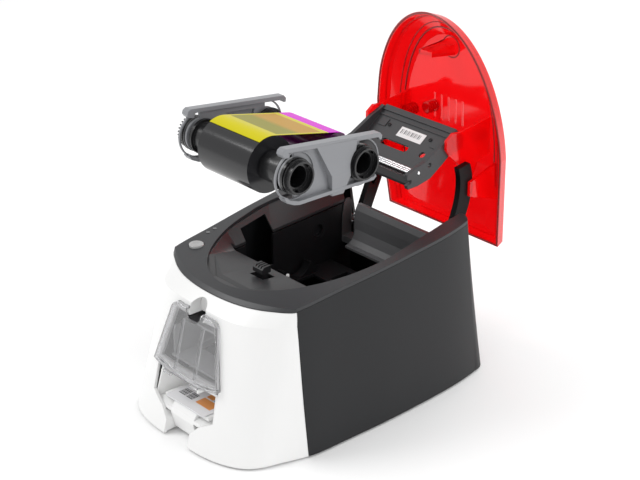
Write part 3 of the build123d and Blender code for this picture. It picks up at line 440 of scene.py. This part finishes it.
def screws(name, spots, direction, body, size=1.0, material=steel):
    """Screw heads with a round socket, all facing direction."""
    bm = bmesh.new()
    for spot in spots:
        add_lathe(bm, [(a * size, r * size) for a, r in SCREW], facing(spot, direction), steps=24)
    make_piece(name, bm, body, material)


def front_round(half, front, steps):
    """The rounded front of the closed cover's plan, from left to right."""
    angles = [math.pi * i / steps for i in range(steps + 1)]
    return [(-half * math.cos(a), CORNER - (CORNER - front) * math.sin(a)) for a in angles]


def cover_arc(half, front, rear, z_at):
    """The cover's D outline from its left rear corner round the front, where the cover stands open."""
    taper = 8.0
    points = [(-half + taper, rear)] + front_round(half, front, 48) + [(half - taper, rear)]
    return [opened(x, y, z_at(y)) for x, y in points]


# ---------------- cover: edge beads, crease rib, latch pad and ribbed bosses ----------------
def rim_z(y):
    """Height of the closed cover's edge, which rises gently to the rear."""
    return 140.6 + 0.115 * (y + 102.0)


cover_mesh = nodes["cover_shell"].data
cover_place = nodes["cover_shell"].matrix_world
cover_points = [cover_place @ v.co for v in cover_mesh.vertices]
cover_tree = BVHTree.FromPolygons(cover_points, [tuple(p.vertices) for p in cover_mesh.polygons])


START_Z = 103.0  # below the closed cover, so the ray meets its inner face


def laid(points, depth):
    """Points of the closed cover's plan, dropped onto the inner face of the open shell."""
    spots = []
    for x, y in points:
        start = opened(x, y, START_Z)
        hit = cover_tree.ray_cast(Vector(start) * MM, Vector((0, 1, 0)))[0]
        if hit:
            spots.append((x, hit.y / MM + depth, start[2]))
    return spots


def crease(half, front, rear):
    """The crown's outline in the closed cover's plan, from rear left round the front to rear right."""
    left = [(-half, rear - (rear - CORNER) * i / 8) for i in range(8)]
    right = [(half, CORNER + (rear - CORNER) * i / 8) for i in range(1, 9)]
    return left + front_round(half, front, 60) + right


edge_line = cover_arc(80.3, -115.7, 100.8, lambda y: rim_z(y) + 0.4)
inner_line = cover_arc(77.2, -111.5, 98.2, lambda y: rim_z(y) + 7.5)
crease_rear = 46.0
sunk = 0.1
tube("cover_edge_bead", edge_line, 1.0, "cover", red_edge, True)
tube("cover_inner_bead", inner_line, 0.5, "cover", red_edge)
tube("cover_crease_rib", laid(crease(60.0, -99.0, crease_rear), sunk), 0.8, "cover", red_edge)
tube("cover_crease_line", laid(crease(64.5, -104.5, crease_rear), sunk), 0.5, "cover", red_edge)
pad_x, pad_y, pad_radius = 3.0, -80.0, 10.5
ring = []
for i in range(40):
    angle = 2 * math.pi * i / 40
    ring.append((pad_x + pad_radius * math.cos(angle), pad_y + pad_radius * math.sin(angle)))
tube("cover_pad_ring", laid(ring, sunk), 0.6, "cover", red_edge, True)

boss_radius, rib_radius, rib_step = 4.6, 5.8, 2.8
RIBBED = [(0, boss_radius)]
for i in range(5):
    foot = rib_step * i
    RIBBED += [(foot + 0.4, boss_radius), (foot + 0.8, rib_radius)]
    RIBBED += [(foot + 1.9, rib_radius), (foot + 2.3, boss_radius)]
bm = bmesh.new()
for x, z in ((44.5, 219.0), (-44.5, 219.0), (-17.0, 229.5)):
    add_lathe(bm, RIBBED, facing((x, 151.0, z), (0, 1, 0)), steps=40)
make_piece("cover_spring_bosses", bm, "cover", red_rib)

# ---------------- print head carriage: label bars, window frames, pins, rods and screws ----------------
# its face plate leans: local Y runs down the plate, local Z stands off it
face_top = Vector((0, 126.0, 228.5))
face_run = Vector((0, -40.0, -29.0)).normalized()
face_up = Vector((0, -29.0, 40.0)).normalized()
face_matrix = Matrix((
    (1, 0, 0, 0),
    (0, face_run.y, face_up.y, face_top.y),
    (0, face_run.z, face_up.z, face_top.z),
    (0, 0, 0, 1)))
bm = bmesh.new()
bar_widths = (0.9, 0.4, 1.1, 0.5, 0.9, 0.4, 1.2, 0.6, 0.9, 0.4, 1.0, 0.5)
bar_pitch = 2.2
for i, wide in enumerate(bar_widths):
    low = -9.5 + bar_pitch * i
    add_box(bm, low, low + wide, 15.4, 20.2, 0.31, 0.36, face_matrix)
make_piece("label_bars", bm, "head", ink_black)
bm = bmesh.new()
add_box(bm, -40.5, -30.5, 10.6, 19.4, 0.0, 0.9, face_matrix)
add_box(bm, 31.5, 42.5, 10.6, 23.4, 0.0, 0.9, face_matrix)
make_piece("carriage_window_frames", bm, "head", carriage_grey, bevel=0.3)
bm = bmesh.new()
PIN = [(0, 1.7), (3.7, 1.7), (4.1, 1.2)]
for side in (-1, 1):
    add_lathe(bm, PIN, facing((side * 46.1, 75.3, 203.6), (side, 0, 0)), steps=20)
make_piece("carriage_pins", bm, "head", bright)
rod_half, rod_z = 44.4, 199.5
for i, y in enumerate((76.6, 80.0, 83.4)):
    line = [(-rod_half, y, rod_z), (rod_half, y, rod_z)]
    tube("head_rod_sleeve_%d" % (i + 1), line, 1.3, "head", bright)
carriage_spots = [(-27, 112.9, 219.3), (27, 112.9, 219.3)]
screws("carriage_screws", carriage_spots, tuple(face_up), "head", 0.8, black)

# ---------------- bay, sockets and underside ----------------
bm = bmesh.new()
rib_pitch = 18.0
for i in range(7):
    x = -3 * rib_pitch + rib_pitch * i
    add_box(bm, x - 0.8, x + 0.8, -52.0, -50.2, 80.0, 122.0)
make_piece("bay_wall_ribs", bm, "body", black, bevel=0.2)
bm = bmesh.new()
peg_profile = [(0, 1.8), (9.0, 1.6), (10.4, 0.9)]
add_lathe(bm, peg_profile, facing((9.7, -50.4, 118.0), (0, 0.35, 1)), steps=24)
make_piece("bay_peg", bm, "body", peg_white)
bm = bmesh.new()
add_box(bm, 33.5, 40.5, 128.1, 140.0, 19.2, 20.6)
make_piece("usb_tongue", bm, "body", peg_white, bevel=0.2)
bm = bmesh.new()
for x in (58.8, 62.0, 65.2):
    add_box(bm, x - 0.7, x + 0.7, 124.1, 134.0, 18.6, 21.4)
make_piece("inlet_prongs", bm, "body", bright, bevel=0.2)
under = 3.0
base_spots = [(-52, -112), (52, -112), (-84, 60), (84, 60), (-84, -40), (84, -40)]
screws("base_screws", [(x, y, under) for x, y in base_spots], (0, 0, -1), "body")

# ---------------- printed card: bars, lines and blocks ----------------
card_top = 33.1


def card_ink(name, material, patches):
    """Thin printed patches on the card's upper face, each given as (x0, x1, y0, y1)."""
    bm = bmesh.new()
    for patch in patches:
        add_box(bm, *patch, card_top + 0.02, card_top + 0.07)
    make_piece(name, bm, "card", material)


ink_front = -150
bars = []
for low, wide in zip((0, 1.9, 3.1, 5.0, 6.4, 8.4), (1.1, 0.6, 1.2, 0.7, 1.3, 0.8)):
    for x0, x1 in ((-22, -13), (-11.5, -3)):
        bars.append((x0, x1, ink_front + low, ink_front + low + wide))
lines = [(-22, -7 - 2 * (i % 3), -134 + 3 * i, -132.8 + 3 * i) for i in range(5)]
card_ink("card_bars", ink_black, bars)
card_ink("card_lines", ink_grey, lines)
card_ink("card_block_orange", ink_orange, [(2, 22, ink_front, -139), (2, 11, -137.5, -128)])
card_ink("card_block_blue", ink_blue, [(12.5, 22, -137.5, -122), (2, 11, -126.5, -122)])
